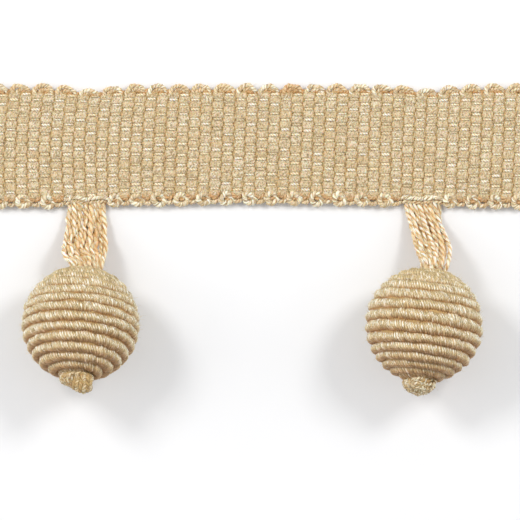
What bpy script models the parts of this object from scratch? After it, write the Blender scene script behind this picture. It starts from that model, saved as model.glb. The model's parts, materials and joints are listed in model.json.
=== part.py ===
"""Beaded fringe trim: a ribbed braid with picot edges, and two cord-wound balls on yarn hangers.

The trim lies face up on the XY plane, in metres. X runs along the braid, +Y is its free edge, the balls
lie towards -Y, and +Z is the face. The origin is the middle of the braid's flat back.
"""

import math
from collections import namedtuple

import bmesh
import bpy
from mathutils import Matrix, Vector

MM = 0.001

# The braid: REPEATS lengths of REPEAT, each with one hanger in its middle.
REPEAT = 70 * MM
REPEATS = 2
RIBS_PER_REPEAT = 30
RIB = REPEAT / RIBS_PER_REPEAT
RIBS = RIBS_PER_REPEAT * REPEATS
LENGTH = REPEAT * REPEATS
POINTS_PER_RIB = 4
RIB_SWELL = (0.0, 0.85, 1.0, 0.85)  # share of a rib's height at its groove, side, crest and side
RIBS_PER_PICOT = 2
ROOT_RIBS = 4  # width of the gap in the lower picots that each hanger's root fills
BODY_HALF = 10.8 * MM

# How far the woven cloth strays from a straight grid.
DRIFT = 0.3 * MM
LEAN = 0.45 * MM
BOW = 0.5 * MM
BOW_FROM = -12 * MM
BOW_FADE = 13 * MM
GATHER = 0.25 * MM
WIDER = 0.7 * MM
WIDER_SPAN = 100 * MM
DIP = 0.6 * MM
DIP_REACH = 4.5 * MM
END_EASE = 10 * MM  # the cut ends are square, so the straying fades out over this length

# Stations across the braid, from the lower picots' tips to the upper ones'.
Row = namedtuple("Row", "across crest groove picot")
ROWS = (
    Row(-12.2 * MM, 0.95 * MM, 0.80 * MM, -1.0 * MM),
    Row(-10.4 * MM, 1.75 * MM, 1.25 * MM, 0.0),
    Row(-5.5 * MM, 2.10 * MM, 1.45 * MM, 0.0),
    Row(0.0 * MM, 2.15 * MM, 1.50 * MM, 0.0),
    Row(5.5 * MM, 2.10 * MM, 1.45 * MM, 0.0),
    Row(11.1 * MM, 1.75 * MM, 1.25 * MM, 0.0),
    Row(12.9 * MM, 0.95 * MM, 0.80 * MM, 1.0 * MM),
)

CLEAR = 0.3 * MM  # between neighbouring pieces

# The balls: a spheroid wound with one cord from the hanger's hole to the knot's.
BALL_EQUATOR = 12.1 * MM
BALL_POLE = 11.9 * MM
BALL_FLAT = 0.25 * MM  # how much of the ball the resting spot takes
WIND_START = math.radians(12)
WIND_PITCH = math.radians(11.17)
WIND_TURNS = 13
WIND_SIDES = 30
CORD_RELIEF = 0.42 * MM
TOP_RELIEF = 0.15 * MM  # the turns lie flatter near the hanger
SWELL_LENGTH = math.radians(150)
BORE = 2.2 * MM
BORE_SIDES = 16

# tug: how far the hanger pulls the braid's lower edge along. tip: how far the knot's end rises to the face.
# turn: how far the upper end leans along +X. front: the winding's phase. swell: its unevenness.
Ball = namedtuple("Ball", "side at tug centre tip turn front swell swell_from")
BALLS = (
    Ball("left", -35 * MM, 0.3 * MM, (-35.8 * MM, -36.6 * MM), 17.5, 3.0, 0.36, -2.0, 85.0),
    Ball("right", 35 * MM, 0.0, (34.75 * MM, -36.85 * MM), 8.5, 5.0, 0.30, 2.2, 78.0),
)

# The hangers: a root strip in the braid's edge, strands, a neck, a stem through the ball, and a knot.
STRAND = 0.72 * MM
STRAND_POINTS = 9
ROOT_DEEP = 1.1 * MM
ROOT_THICK = 1.3 * MM
STATIONS = (0.0, 0.28, 0.53, 0.78, 0.93)  # shares of the way from the root to the neck
RISE_POWER = 1.7  # the strands leave the flat braid low and steepen towards the ball
NECK_OUT = 0.85 * MM
NECK_HALF = (3.3 * MM, 0.75 * MM, 1.9 * MM)
NECK_GATHER = 0.75

# Each strand's place across its hanger, in mm, at the five stations, and its layer.
Strand = namedtuple("Strand", "root upper middle lower foot layer")
STRANDS = {
    "left": (
        Strand(-3.4, -3.4, -4.0, -4.5, -3.4, 0),
        Strand(-2.5, -2.3, -2.8, -3.4, -2.6, 1),
        Strand(-1.6, -1.4, -1.9, -2.4, -1.8, 0),
        Strand(-0.8, -0.7, -1.2, -1.5, -1.0, -1),
        Strand(0.1, 0.2, -0.3, -0.6, -0.1, 0),
        Strand(1.0, 1.1, 0.6, 0.3, 0.7, 1),
        Strand(1.8, 1.9, 1.5, 1.2, 1.5, 0),
        Strand(2.7, 2.7, 2.8, 3.0, 2.6, -1),
        Strand(3.7, 3.7, 4.0, 4.0, 3.4, 0),
    ),
    "right": (
        Strand(-3.4, -2.8, -2.7, -2.5, -2.1, 0),
        Strand(-2.5, -2.0, -1.7, -1.6, -1.3, 1),
        Strand(-1.6, -1.0, -0.6, -0.4, -0.5, 0),
        Strand(-0.7, 0.0, 0.5, 0.6, 0.4, 1),
        Strand(0.5, 1.2, 1.6, 1.6, 1.3, 0),
        Strand(1.5, 2.2, 2.6, 2.6, 2.2, 1),
        Strand(2.4, 3.0, 3.7, 4.2, 3.5, 0),
        Strand(3.4, 3.4, 3.0, 2.1, 1.4, -2),
    ),
}
LAYER = 0.4 * MM

# The knots: one turn of yarn round the stem, and the folded end below it.
Knot = namedtuple("Knot", "ring thick bud bud_aside bud_out")
KNOTS = {
    "left": Knot(2.55 * MM, 0.85 * MM, (2.1 * MM, 1.6 * MM, 2.0 * MM), 1.0 * MM, 0.9 * MM),
    "right": Knot(2.85 * MM, 0.90 * MM, (2.6 * MM, 1.4 * MM, 2.4 * MM), 0.3 * MM, 0.5 * MM),
}

# Base colour and roughness of each yarn.
YARNS = {
    "braid yarn": ((0.60, 0.45, 0.24, 1.0), 0.75),
    "hanger yarn": ((0.76, 0.57, 0.30, 1.0), 0.45),
    "wound cord": ((0.52, 0.39, 0.20, 1.0), 0.55),
}


def smooth(share):
    """Eases from 0 to 1."""
    share = max(0.0, min(1.0, share))
    return share * share * (3 - 2 * share)


def bell(distance, reach):
    return math.exp(-((distance / reach) ** 2))


def settle(along, across):
    """Where the uneven cloth holds the point (along, across) of its straight grid."""
    level = across / BODY_HALF
    below = max(0.0, -level)
    bowed = smooth((BOW_FROM - along) / BOW_FADE)
    shift = DRIFT * math.cos(math.pi * along / REPEAT) + LEAN * level + BOW * bowed * level**2
    drop = WIDER * math.sin(math.pi * along / WIDER_SPAN) ** 2 * below
    for ball in BALLS:
        away = along - ball.at
        shift += (ball.tug - GATHER * away / (2 * RIB)) * bell(away, 4 * RIB) * below
        drop += DIP * bell(away, DIP_REACH) * max(0.0, level) ** 4
    ease = smooth((LENGTH / 2 - abs(along)) / END_EASE)
    return along + ease * shift, across - ease * drop


def material(name):
    colour, roughness = YARNS[name]
    made = bpy.data.materials.new(name)
    made.use_nodes = True
    shader = made.node_tree.nodes["Principled BSDF"]
    shader.inputs["Base Color"].default_value = colour
    shader.inputs["Roughness"].default_value = roughness
    made.diffuse_color = colour
    return made


def object_of(bm, name, collection):
    """A named object that holds a closed mesh, with its faces pointing out."""
    bm.normal_update()
    bmesh.ops.recalc_face_normals(bm, faces=bm.faces)
    mesh = bpy.data.meshes.new(name)
    bm.to_mesh(mesh)
    bm.free()
    made = bpy.data.objects.new(name, mesh)
    collection.objects.link(made)
    return made


def mesh_of(source):
    """The evaluated mesh of an object, as a bmesh with its doubles welded. The object is removed."""
    bpy.context.view_layer.update()
    graph = bpy.context.evaluated_depsgraph_get()
    mesh = bpy.data.meshes.new_from_object(source.evaluated_get(graph))
    bm = bmesh.new()
    bm.from_mesh(mesh)
    bm.transform(source.matrix_world)
    bmesh.ops.remove_doubles(bm, verts=bm.verts, dist=0.001 * MM)
    bpy.data.objects.remove(source)
    bpy.data.meshes.remove(mesh)
    return bm


def as_helper(made):
    """Keeps an object out of the model: it only cuts or joins."""
    made.hide_render = True
    made.display_type = "WIRE"
    return made


def finish(made, yarn):
    made.data.materials.append(yarn)
    made.data.shade_smooth()
    made.data.set_sharp_from_angle(angle=math.radians(50))
    return made


# Braid


def picot(column, first_rib):
    """A picot's reach at a column: 0 where it starts, at first_rib and every RIBS_PER_PICOT after."""
    turn = (column / POINTS_PER_RIB - first_rib) / RIBS_PER_PICOT
    return abs(math.sin(math.pi * turn)) ** 0.6


def root_columns(ball):
    """The first and last column of the gap that a hanger's root fills."""
    middle = round((ball.at + LENGTH / 2) / RIB * POINTS_PER_RIB)
    half = ROOT_RIBS * POINTS_PER_RIB // 2
    return middle - half, middle + half


def braid_point(column, row):
    """The face point of the braid at a column and a row of ROWS."""
    along = column * RIB / POINTS_PER_RIB - LENGTH / 2
    across = row.across
    if row.picot:
        # A picot on one edge starts where one on the other edge is widest, as the weft snakes.
        first_rib = 1 if row.picot < 0 else 0
        across += row.picot * (picot(column, first_rib) - 1)
    x, y = settle(along, across)
    swell = RIB_SWELL[column % POINTS_PER_RIB]
    return Vector((x, y, row.groove + (row.crest - row.groove) * swell))


def make_braid(collection):
    columns = RIBS * POINTS_PER_RIB
    bm = bmesh.new()
    bmesh.ops.create_grid(bm, x_segments=columns, y_segments=len(ROWS) - 1, size=1.0)
    places = {}
    for vert in bm.verts:
        column = round((vert.co.x + 1) / 2 * columns)
        row = round((vert.co.y + 1) / 2 * (len(ROWS) - 1))
        places[vert] = (column, row)
        vert.co = braid_point(column, ROWS[row])
    spans = [root_columns(ball) for ball in BALLS]
    gone = []
    strips = [[] for _ in range(RIBS)]
    for face in bm.faces:
        column = min(places[vert][0] for vert in face.verts)
        row = min(places[vert][1] for vert in face.verts)
        if row == 0 and any(first <= column < last for first, last in spans):
            gone.append(face)
        else:
            strips[column // POINTS_PER_RIB].append(face)
    bmesh.ops.delete(bm, geom=gone, context="FACES")

    # The back: each rib's faces become one flat face, once the raised copy has been drawn off them.
    raised = bmesh.ops.extrude_face_region(bm, geom=bm.faces[:], use_keep_orig=True)
    top = {item for item in raised["geom"] if isinstance(item, bmesh.types.BMVert)}
    for vert in bm.verts:
        if vert not in top:
            vert.co.z = 0.0
    for strip in strips:
        bmesh.ops.dissolve_faces(bm, faces=strip)
    return object_of(bm, "braid", collection)


# Balls


def ball_axes(ball):
    """The ball's centre, and its directions: along the face's X, to the hanger, and up to the face."""
    tip = math.radians(ball.tip)
    turn = math.radians(ball.turn)
    upper = Vector((math.sin(turn) * math.cos(tip), math.cos(turn) * math.cos(tip), -math.sin(tip)))
    right = upper.cross(Vector((0, 0, 1))).normalized()
    front = right.cross(upper)
    centre = Vector((*ball.centre, BALL_EQUATOR - BALL_FLAT))
    return centre, right, upper, front


def ball_matrix(ball):
    """Turns a shape built with its axis on +Z, and the face on +Y, into the ball's place."""
    centre, right, upper, front = ball_axes(ball)
    turned = Matrix((-right, front, upper)).transposed().to_4x4()
    return Matrix.Translation(centre) @ turned


def wound_tube(ball):
    """One ridge's profile, screwed into a threaded tube: a pitch of 1 mm, and a height of 1 mm a turn."""
    bm = bmesh.new()
    steps = len(RIB_SWELL)
    heights = [step / steps for step in range(steps + 1)]
    swells = RIB_SWELL + RIB_SWELL[:1]
    verts = [bm.verts.new((10 * MM + swell * MM, 0, height * MM)) for height, swell in zip(heights, swells)]
    for one, other in zip(verts, verts[1:]):
        bm.edges.new((one, other))
    mesh = bpy.data.meshes.new("thread")
    bm.to_mesh(mesh)
    bm.free()
    made = bpy.data.objects.new("thread", mesh)
    bpy.context.scene.collection.objects.link(made)
    screw = made.modifiers.new("Wind", "SCREW")
    screw.axis = "Z"
    screw.angle = 2 * math.pi
    screw.screw_offset = 1 * MM
    screw.iterations = WIND_TURNS
    screw.steps = WIND_SIDES
    screw.render_steps = WIND_SIDES
    screw.use_merge_vertices = False
    return mesh_of(made)


def make_ball(ball, collection, helpers):
    """The threaded tube wrapped on a spheroid, closed at both ends, bored through and flat where it rests."""
    centre, right, upper, front = ball_axes(ball)
    bm = wound_tube(ball)
    for vert in bm.verts:
        angle = math.atan2(vert.co.y, vert.co.x) - 2 * math.pi * ball.front
        swell = (math.hypot(vert.co.x, vert.co.y) - 10 * MM) / MM
        polar = WIND_START + WIND_PITCH * vert.co.z / MM
        uneven = math.sin(2 * math.pi * (polar - math.radians(ball.swell_from)) / SWELL_LENGTH)
        polar += math.radians(ball.swell) * uneven * math.sin(polar)
        relief = TOP_RELIEF + (CORD_RELIEF - TOP_RELIEF) * smooth((polar - 0.4) / 0.9)
        out, along = math.sin(polar), math.cos(polar)
        radius = 1 / math.hypot(out / BALL_EQUATOR, along / BALL_POLE) - relief * (1 - swell)
        aside = out * math.sin(angle) * right + out * math.cos(angle) * front
        vert.co = centre + radius * (aside + along * upper)
        vert.co.z = max(vert.co.z, 0.0)
    bmesh.ops.holes_fill(bm, edges=bm.edges, sides=0)
    bmesh.ops.triangulate(bm, faces=[face for face in bm.faces if len(face.verts) > 4])
    made = object_of(bm, f"ball_{ball.side}", collection)

    bm = bmesh.new()
    bmesh.ops.create_cone(
        bm, cap_ends=True, segments=BORE_SIDES, radius1=BORE, radius2=BORE, depth=3 * BALL_POLE
    )
    bm.transform(ball_matrix(ball))
    bore = as_helper(object_of(bm, f"bore_{ball.side}", helpers))
    cut = made.modifiers.new("Bore", "BOOLEAN")
    cut.operation = "DIFFERENCE"
    cut.object = bore
    return made


# Hangers


def curve_through(knots, count):
    """A smooth curve's points through some knots, at even steps of its own parameter."""
    last = len(knots) - 1
    points = []
    for step in range(count):
        at = step / (count - 1) * last
        index = min(int(at), last - 1)
        share = at - index
        before = knots[max(index - 1, 0)]
        one, two = knots[index], knots[index + 1]
        after = knots[min(index + 2, last)]
        start, end = (two - before) / 2, (after - one) / 2
        points.append(
            one * (2 * share**3 - 3 * share**2 + 1)
            + start * (share**3 - 2 * share**2 + share)
            + two * (3 * share**2 - 2 * share**3)
            + end * (share**3 - share**2)
        )
    return points


def strand(points, name, helpers):
    """A four-sided strand along some points."""
    curve = bpy.data.curves.new(name, "CURVE")
    curve.dimensions = "3D"
    curve.twist_mode = "Z_UP"
    curve.bevel_depth = STRAND / 2
    curve.bevel_resolution = 0
    curve.use_fill_caps = True
    spline = curve.splines.new("POLY")
    spline.points.add(len(points) - 1)
    for point, place in zip(spline.points, points):
        point.co = (*place, 1.0)
    made = bpy.data.objects.new(name, curve)
    bpy.context.scene.collection.objects.link(made)
    return as_helper(object_of(mesh_of(made), name, helpers))


def ellipsoid(half, place, name, helpers, segments=12, rings=8):
    """An ellipsoid of half sizes (across, along the axis, to the face) in the ball's own frame."""
    bm = bmesh.new()
    bmesh.ops.create_uvsphere(bm, u_segments=segments, v_segments=rings, radius=1.0)
    across, along, up = half
    bm.transform(place @ Matrix.Diagonal((across, up, along, 1)))
    return as_helper(object_of(bm, name, helpers))


def make_hanger(ball, collection, helpers):
    """One closed body: the root strip, joined with its strands, neck, stem and knot."""
    name = f"hanger_{ball.side}"
    parts = bpy.data.collections.new(f"{name} parts")
    helpers.children.link(parts)
    gap = [settle(ball.at + side * ROOT_RIBS / 2 * RIB, ROWS[1].across) for side in (-1, 1)]
    (low_x, low_y), (high_x, high_y) = gap
    root_x, root_y = (low_x + high_x) / 2, min(low_y, high_y) - CLEAR

    strip = bmesh.new()
    bmesh.ops.create_cube(strip, size=1.0)
    size = Matrix.Diagonal((high_x - low_x - 3 * CLEAR, ROOT_DEEP, ROOT_THICK, 1))
    place = Matrix.Translation((root_x, root_y - ROOT_DEEP / 2, ROOT_THICK / 2))
    strip.transform(place @ size)
    made = object_of(strip, name, collection)

    frame = ball_matrix(ball)
    neck_place = frame @ Matrix.Translation((0, 0, BALL_POLE + NECK_OUT))
    neck = neck_place.translation
    ellipsoid(NECK_HALF, neck_place, f"{name} neck", parts)
    root = Vector((root_x, root_y - ROOT_DEEP / 2, ROOT_THICK / 2))
    _, right, _, _ = ball_axes(ball)
    for number, row in enumerate(STRANDS[ball.side]):
        knots = []
        for share, across in zip(STATIONS, (row.root, row.upper, row.middle, row.lower, row.foot)):
            lift = (neck.z - root.z) * share**RISE_POWER + (row.layer * LAYER if share else 0.0)
            knots.append(root + Vector((across * MM, (neck.y - root.y) * share, lift)))
        knots.append(neck + right * row.foot * NECK_GATHER * MM)
        strand(curve_through(knots, STRAND_POINTS), f"{name} strand {number}", parts)

    knot = KNOTS[ball.side]
    # The turn lies on the ball's fall-off round the hole.
    ring_out = BALL_POLE * math.sqrt(1 - (knot.ring / BALL_EQUATOR) ** 2) + CLEAR + knot.thick
    top, bottom = BALL_POLE + NECK_OUT, -ring_out - knot.bud_out / 2
    stem = bmesh.new()
    bmesh.ops.create_cone(
        stem,
        cap_ends=True,
        segments=BORE_SIDES,
        radius1=BORE - CLEAR,
        radius2=BORE - CLEAR,
        depth=top - bottom,
    )
    stem.transform(frame @ Matrix.Translation((0, 0, (top + bottom) / 2)))
    as_helper(object_of(stem, f"{name} stem", parts))

    bpy.ops.mesh.primitive_torus_add(
        major_radius=knot.ring, minor_radius=knot.thick, major_segments=16, minor_segments=7
    )
    ring = bpy.context.object
    ring.matrix_world = frame @ Matrix.Translation((0, 0, -ring_out))
    as_helper(object_of(mesh_of(ring), f"{name} knot turn", parts))
    bud_place = frame @ Matrix.Translation((-knot.bud_aside, 0, -ring_out - knot.bud_out))
    ellipsoid(knot.bud, bud_place, f"{name} knot end", parts)

    join = made.modifiers.new("Join", "BOOLEAN")
    join.operation = "UNION"
    join.operand_type = "COLLECTION"
    join.collection = parts
    return made


def main():
    for item in list(bpy.data.objects):
        bpy.data.objects.remove(item)
    bpy.context.scene.unit_settings.scale_length = 1.0
    trim = bpy.data.collections.new("beaded fringe trim")
    helpers = bpy.data.collections.new("cutters")
    for collection in (trim, helpers):
        bpy.context.scene.collection.children.link(collection)
    yarns = {name: material(name) for name in YARNS}
    finish(make_braid(trim), yarns["braid yarn"])
    for ball in BALLS:
        finish(make_hanger(ball, trim, helpers), yarns["hanger yarn"])
        finish(make_ball(ball, trim, helpers), yarns["wound cord"])


main()
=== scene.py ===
"""The looks of a beaded fringe trim: woven braid, picots, yarn hangers, cord-wound balls and knots.

Every yarn is a closed tube swept along its own path. Lengths are in metres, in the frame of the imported
model: X along the braid, +Y its free edge, +Z its face, and the origin in the middle of its flat back.
"""

import json
import math
from collections import namedtuple

import bpy
import numpy as np
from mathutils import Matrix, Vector

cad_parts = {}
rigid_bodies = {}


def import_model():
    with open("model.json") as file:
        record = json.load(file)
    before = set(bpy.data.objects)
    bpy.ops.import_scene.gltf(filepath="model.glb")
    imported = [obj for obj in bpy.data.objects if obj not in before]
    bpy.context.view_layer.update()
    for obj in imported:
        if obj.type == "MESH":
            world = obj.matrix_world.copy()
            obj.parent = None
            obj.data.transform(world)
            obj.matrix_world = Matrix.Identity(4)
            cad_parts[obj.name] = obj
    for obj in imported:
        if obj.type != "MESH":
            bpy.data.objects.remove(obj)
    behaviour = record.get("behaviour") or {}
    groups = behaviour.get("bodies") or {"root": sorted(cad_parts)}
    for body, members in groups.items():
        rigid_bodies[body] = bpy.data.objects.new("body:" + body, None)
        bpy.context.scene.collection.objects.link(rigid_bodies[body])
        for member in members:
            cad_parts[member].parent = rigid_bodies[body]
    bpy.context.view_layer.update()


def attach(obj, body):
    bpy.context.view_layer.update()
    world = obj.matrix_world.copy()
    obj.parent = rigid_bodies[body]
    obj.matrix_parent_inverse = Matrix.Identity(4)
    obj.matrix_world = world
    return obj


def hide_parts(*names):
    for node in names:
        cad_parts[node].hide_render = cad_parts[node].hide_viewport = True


for old in list(bpy.data.objects):
    bpy.data.objects.remove(old)
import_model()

MM = 0.001
rng = np.random.default_rng(812)

# The braid's grid, as in the solids.
REPEAT = 70 * MM
RIBS_PER_REPEAT = 30
RIB = REPEAT / RIBS_PER_REPEAT
RIBS = 2 * RIBS_PER_REPEAT
LENGTH = 2 * REPEAT
ROOT_RIBS = 4
BODY_HALF = 10.8 * MM
BODY_LOW, BODY_HIGH = -10.4 * MM, 11.1 * MM
THICK = 2.15 * MM
DRIFT = 0.3 * MM
LEAN = 0.45 * MM
BOW = 0.5 * MM
BOW_FROM = -12 * MM
BOW_FADE = 13 * MM
GATHER = 0.25 * MM
WIDER = 0.7 * MM
WIDER_SPAN = 100 * MM
DIP = 0.6 * MM
DIP_REACH = 4.5 * MM
END_EASE = 10 * MM
CREST_AT = np.array((-12.2, -10.4, -5.5, 0.0, 5.5, 11.1, 12.9)) * MM
CREST = np.array((0.95, 1.75, 2.10, 2.15, 2.10, 1.75, 0.95)) * MM

# The balls and their winding, as in the solids.
CLEAR = 0.3 * MM
BALL_EQUATOR = 12.1 * MM
BALL_POLE = 11.9 * MM
BALL_FLAT = 0.25 * MM
WIND_START = math.radians(12)
WIND_PITCH = math.radians(11.17)
WIND_TURNS = 13
SWELL_LENGTH = math.radians(150)
# tug: how far the hanger pulls the braid's lower edge along. tip: how far the knot's end rises to the face.
# turn: how far the upper end leans along +X. front: the winding's phase. swell: its unevenness.
Ball = namedtuple("Ball", "side at tug centre tip turn front swell swell_from")
BALLS = (
    Ball("left", -35 * MM, 0.3 * MM, (-35.8 * MM, -36.6 * MM), 17.5, 3.0, 0.36, -2.0, 85.0),
    Ball("right", 35 * MM, 0.0, (34.75 * MM, -36.85 * MM), 8.5, 5.0, 0.30, 2.2, 78.0),
)

# The hangers. Their route is as in the solids, and the yarns spread a little wider and deeper about it.
ROOT_DEEP = 1.1 * MM
ROOT_THICK = 1.3 * MM
STATIONS = (0.0, 0.28, 0.53, 0.78, 0.93)
RISE_POWER = 1.7
NECK_OUT = 0.85 * MM
NECK_GATHER = 0.93
LAYER = 0.5 * MM
KINKS = 8  # places where a strand strays from its route
FOOT_ASIDE = {"left": 0.55 * MM, "right": 0.5 * MM}  # where the skein enters the ball, from its pole
# Each strand's place across its hanger, in mm, at the five stations, and its layer.
Strand = namedtuple("Strand", "root upper middle lower foot layer")
STRANDS = {
    "left": (
        Strand(-3.4, -3.4, -4.0, -4.5, -3.4, 0),
        Strand(-2.5, -2.3, -2.8, -3.4, -2.6, 1),
        Strand(-1.6, -1.4, -1.9, -2.4, -1.8, 0),
        Strand(-0.8, -0.7, -1.2, -1.5, -1.0, -1),
        Strand(0.1, 0.2, -0.3, -0.6, -0.1, 0),
        Strand(1.0, 1.1, 0.6, 0.3, 0.7, 1),
        Strand(1.8, 1.9, 1.5, 1.2, 1.5, 0),
        Strand(2.7, 2.7, 2.8, 3.0, 2.6, -1),
        Strand(3.7, 3.7, 4.0, 4.0, 3.4, 0),
    ),
    "right": (
        Strand(-3.4, -2.8, -2.7, -2.5, -2.1, 0),
        Strand(-2.5, -2.0, -1.7, -1.6, -1.3, 1),
        Strand(-1.6, -1.0, -0.6, -0.4, -0.5, 0),
        Strand(-0.7, 0.0, 0.5, 0.6, 0.4, 1),
        Strand(0.5, 1.2, 1.6, 1.6, 1.3, 0),
        Strand(1.5, 2.2, 2.6, 2.6, 2.2, 1),
        Strand(2.4, 3.0, 3.7, 4.2, 3.5, 0),
        Strand(3.4, 3.4, 3.0, 2.1, 1.4, -2),
    ),
}
# More strands behind those, which show between them.
BACK_STRANDS = {
    "left": (
        Strand(-2.9, -2.8, -3.4, -3.9, -3.0, -1.2),
        Strand(-2.0, -1.8, -2.4, -2.9, -2.2, -1.9),
        Strand(-1.2, -1.1, -1.5, -2.0, -1.4, -1.2),
        Strand(-0.3, -0.2, -0.7, -1.0, -0.5, -1.9),
        Strand(0.6, 0.7, 0.2, -0.1, 0.3, -1.2),
        Strand(1.4, 1.5, 1.1, 0.8, 1.1, -1.9),
        Strand(2.3, 2.2, 1.9, 1.7, 1.9, -1.2),
        Strand(3.2, 3.2, 3.4, 3.4, 3.0, -1.9),
    ),
    "right": (
        Strand(-2.9, -2.4, -2.2, -2.0, -1.7, -1.2),
        Strand(-2.0, -1.5, -1.2, -1.0, -0.9, -1.9),
        Strand(-1.1, -0.5, -0.1, 0.1, 0.0, -1.2),
        Strand(0.0, 0.6, 1.0, 1.1, 0.9, -1.9),
        Strand(1.0, 1.7, 2.1, 2.1, 1.8, -1.2),
        Strand(2.0, 2.5, 2.6, 2.4, 1.9, -1.9),
    ),
}
STRAND_STRAY = {"left": 0.25 * MM, "right": 0.16 * MM}
STRAND_HALF = 0.58 * MM
STRAND_SIZES = (0.85, 1.15)
ROOT_INSIDE = 1.3 * MM  # how far into the braid a strand starts
BACK_THICK = (0.85, 1.2, 1.4, 1.5, 1.6, 1.6, 1.6, 1.6, 1.6)  # of the strands behind, from root to neck

# The warp: in every row of the braid a thick matte end and a thin shiny one take turns on the face.
ROWS = 21
ROW = (BODY_HIGH - BODY_LOW) / ROWS
RIB_STEPS = np.array((-0.5, -0.42, -0.28, -0.10, 0.10, 0.28, 0.42))
MATTE, SHINY = 0, 1
End = namedtuple("End", "thick rise pillow sides corner groove_wide")
ENDS = {
    MATTE: End(0.46 * MM, 0.0, 0.24, 8, 0.68, 0.92),
    SHINY: End(0.30 * MM, 0.15 * MM, 0.45, 6, 0.85, 0.85),
}
SHINY_HALF = (0.10 * MM, 0.26 * MM)
CELL_STRAY = 0.10 * MM
CREST_STRAY = 0.03 * MM
PRESSED = 0.07 * MM  # how far neighbouring ends are pressed into each other
GROOVE_FILL = 1.3  # how much thicker an end is where it dips between two ribs
# A cell's tone is random, and the higher it is the more painted glints the cell gets.
MATTE_TONES, SHINY_TONES = (0.38, 0.62), (0.05, 1.2)  # from the dullest cell to the brightest
CELL_BULGE = 0.09 * MM  # how far a matte cell pushes into the shiny one beside it


def smooth(share):
    """Eases from 0 to 1."""
    share = np.clip(share, 0.0, 1.0)
    return share * share * (3 - 2 * share)


def bell(distance, reach):
    return np.exp(-((distance / reach) ** 2))


def settle(along, across):
    """Where the uneven cloth holds the point (along, across) of its straight grid."""
    level = across / BODY_HALF
    below = np.maximum(0.0, -level)
    bowed = smooth((BOW_FROM - along) / BOW_FADE)
    shift = DRIFT * np.cos(math.pi * along / REPEAT) + LEAN * level + BOW * bowed * level**2
    drop = WIDER * np.sin(math.pi * along / WIDER_SPAN) ** 2 * below
    for ball in BALLS:
        away = along - ball.at
        shift = shift + (ball.tug - GATHER * away / (2 * RIB)) * bell(away, 4 * RIB) * below
        drop = drop + DIP * bell(away, DIP_REACH) * np.maximum(0.0, level) ** 4
    ease = smooth((LENGTH / 2 - np.abs(along)) / END_EASE)
    return along + ease * shift, across - ease * drop


def unit(vectors):
    return vectors / np.linalg.norm(vectors, axis=-1, keepdims=True)


class Piece:
    """Closed tubes collected into one mesh, with what its material reads at each point.

    fibre: the place on the yarn's own round side, in mm, with its length drawn out, so grain runs along it.
    depth: 1 where the yarn stands out and 0 down between yarns, where the material paints shade; on
    the winding it also holds painted shade on each turn's side away from the lamps. tone: a random shade
    of each length, which also sets its painted glints; on the winding it also holds painted glints and
    painted shade between the threads.
    """

    def __init__(self):
        self.points, self.quads, self.triangles = [], [], []
        self.fibre, self.depth, self.tone = [], [], []
        self.count = 0

    def add(self, points, fibre, depth, tone):
        self.points.append(points.reshape(-1, 3))
        self.fibre.append(fibre.reshape(-1, 3))
        self.depth.append(np.broadcast_to(depth, points.shape[:-1]).reshape(-1))
        self.tone.append(np.broadcast_to(tone, points.shape[:-1]).reshape(-1))
        self.count += points.size // 3

    def tube(self, rings, fibre, depth=1.0, tone=0.5, closed=False):
        """A tube through rings of points, (rings, sides, 3), capped at both ends or closed on itself."""
        rows, sides = rings.shape[:2]
        index = self.count + np.arange(rows * sides).reshape(rows, sides)
        if closed:
            index = np.concatenate((index, index[:1]))
        beside = np.roll(index, -1, axis=1)
        quads = np.stack((index[:-1], beside[:-1], beside[1:], index[1:]), -1).reshape(-1, 4)
        self.add(rings, fibre, depth, tone)
        corners = rings.reshape(-1, 3)[quads - index[0, 0]]
        centre = rings.reshape(-1, 3).mean(0)
        a, b, c, d = (corners[:, n] - centre for n in range(4))
        outward = (np.cross(a, b) * c).sum() + (np.cross(a, c) * d).sum() > 0
        self.quads.append(quads if outward else quads[:, ::-1])
        if closed:
            return
        for row, facing in ((0, not outward), (rows - 1, outward)):
            ring = index[row]
            middle = np.full(sides, self.count)
            fan = np.stack((ring, np.roll(ring, -1), middle), -1)
            self.triangles.append(fan if facing else fan[:, ::-1])
            depths = np.broadcast_to(depth, rings.shape[:-1])[row].mean()
            tones = np.broadcast_to(tone, rings.shape[:-1])[row].mean()
            self.add(rings[row].mean(0)[None], fibre[row].mean(0)[None], depths, tones)

    def finish(self, name, material):
        """The mesh object, riding on the root body."""
        points = np.concatenate(self.points)
        quads = np.concatenate(self.quads)
        loops = [quads.reshape(-1)]
        starts = [np.arange(len(quads)) * 4]
        if self.triangles:
            triangles = np.concatenate(self.triangles)
            loops.append(triangles.reshape(-1))
            starts.append(quads.size + np.arange(len(triangles)) * 3)
        loops, starts = np.concatenate(loops), np.concatenate(starts)
        mesh = bpy.data.meshes.new(name)
        mesh.vertices.add(len(points))
        mesh.vertices.foreach_set("co", points.astype(np.float32).reshape(-1))
        mesh.loops.add(len(loops))
        mesh.loops.foreach_set("vertex_index", loops.astype(np.int32))
        mesh.polygons.add(len(starts))
        mesh.polygons.foreach_set("loop_start", starts.astype(np.int32))
        mesh.update(calc_edges=True)
        mesh.validate()
        mesh.shade_smooth()
        for key, kind, field in (
            ("fibre", "FLOAT_VECTOR", "vector"),
            ("depth", "FLOAT", "value"),
            ("tone", "FLOAT", "value"),
        ):
            values = np.concatenate(getattr(self, key)).astype(np.float32)
            mesh.attributes.new(key, kind, "POINT").data.foreach_set(field, values.reshape(-1))
        mesh.materials.append(material)
        made = bpy.data.objects.new(name, mesh)
        bpy.context.scene.collection.objects.link(made)
        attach(made, "root")
        return made


def fibre_of(around, along, radius, twist=0.0, stretch=0.2):
    """Where points lie on a yarn's fibres, from their angles round it and their lengths along it."""
    turned = around + twist * along / MM
    round_it = radius / MM
    return np.stack((np.cos(turned) * round_it, np.sin(turned) * round_it, along / MM * stretch), -1)


def lengths_of(path):
    return np.concatenate(((0.0,), np.cumsum(np.linalg.norm(np.diff(path, axis=0), axis=1))))


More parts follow.
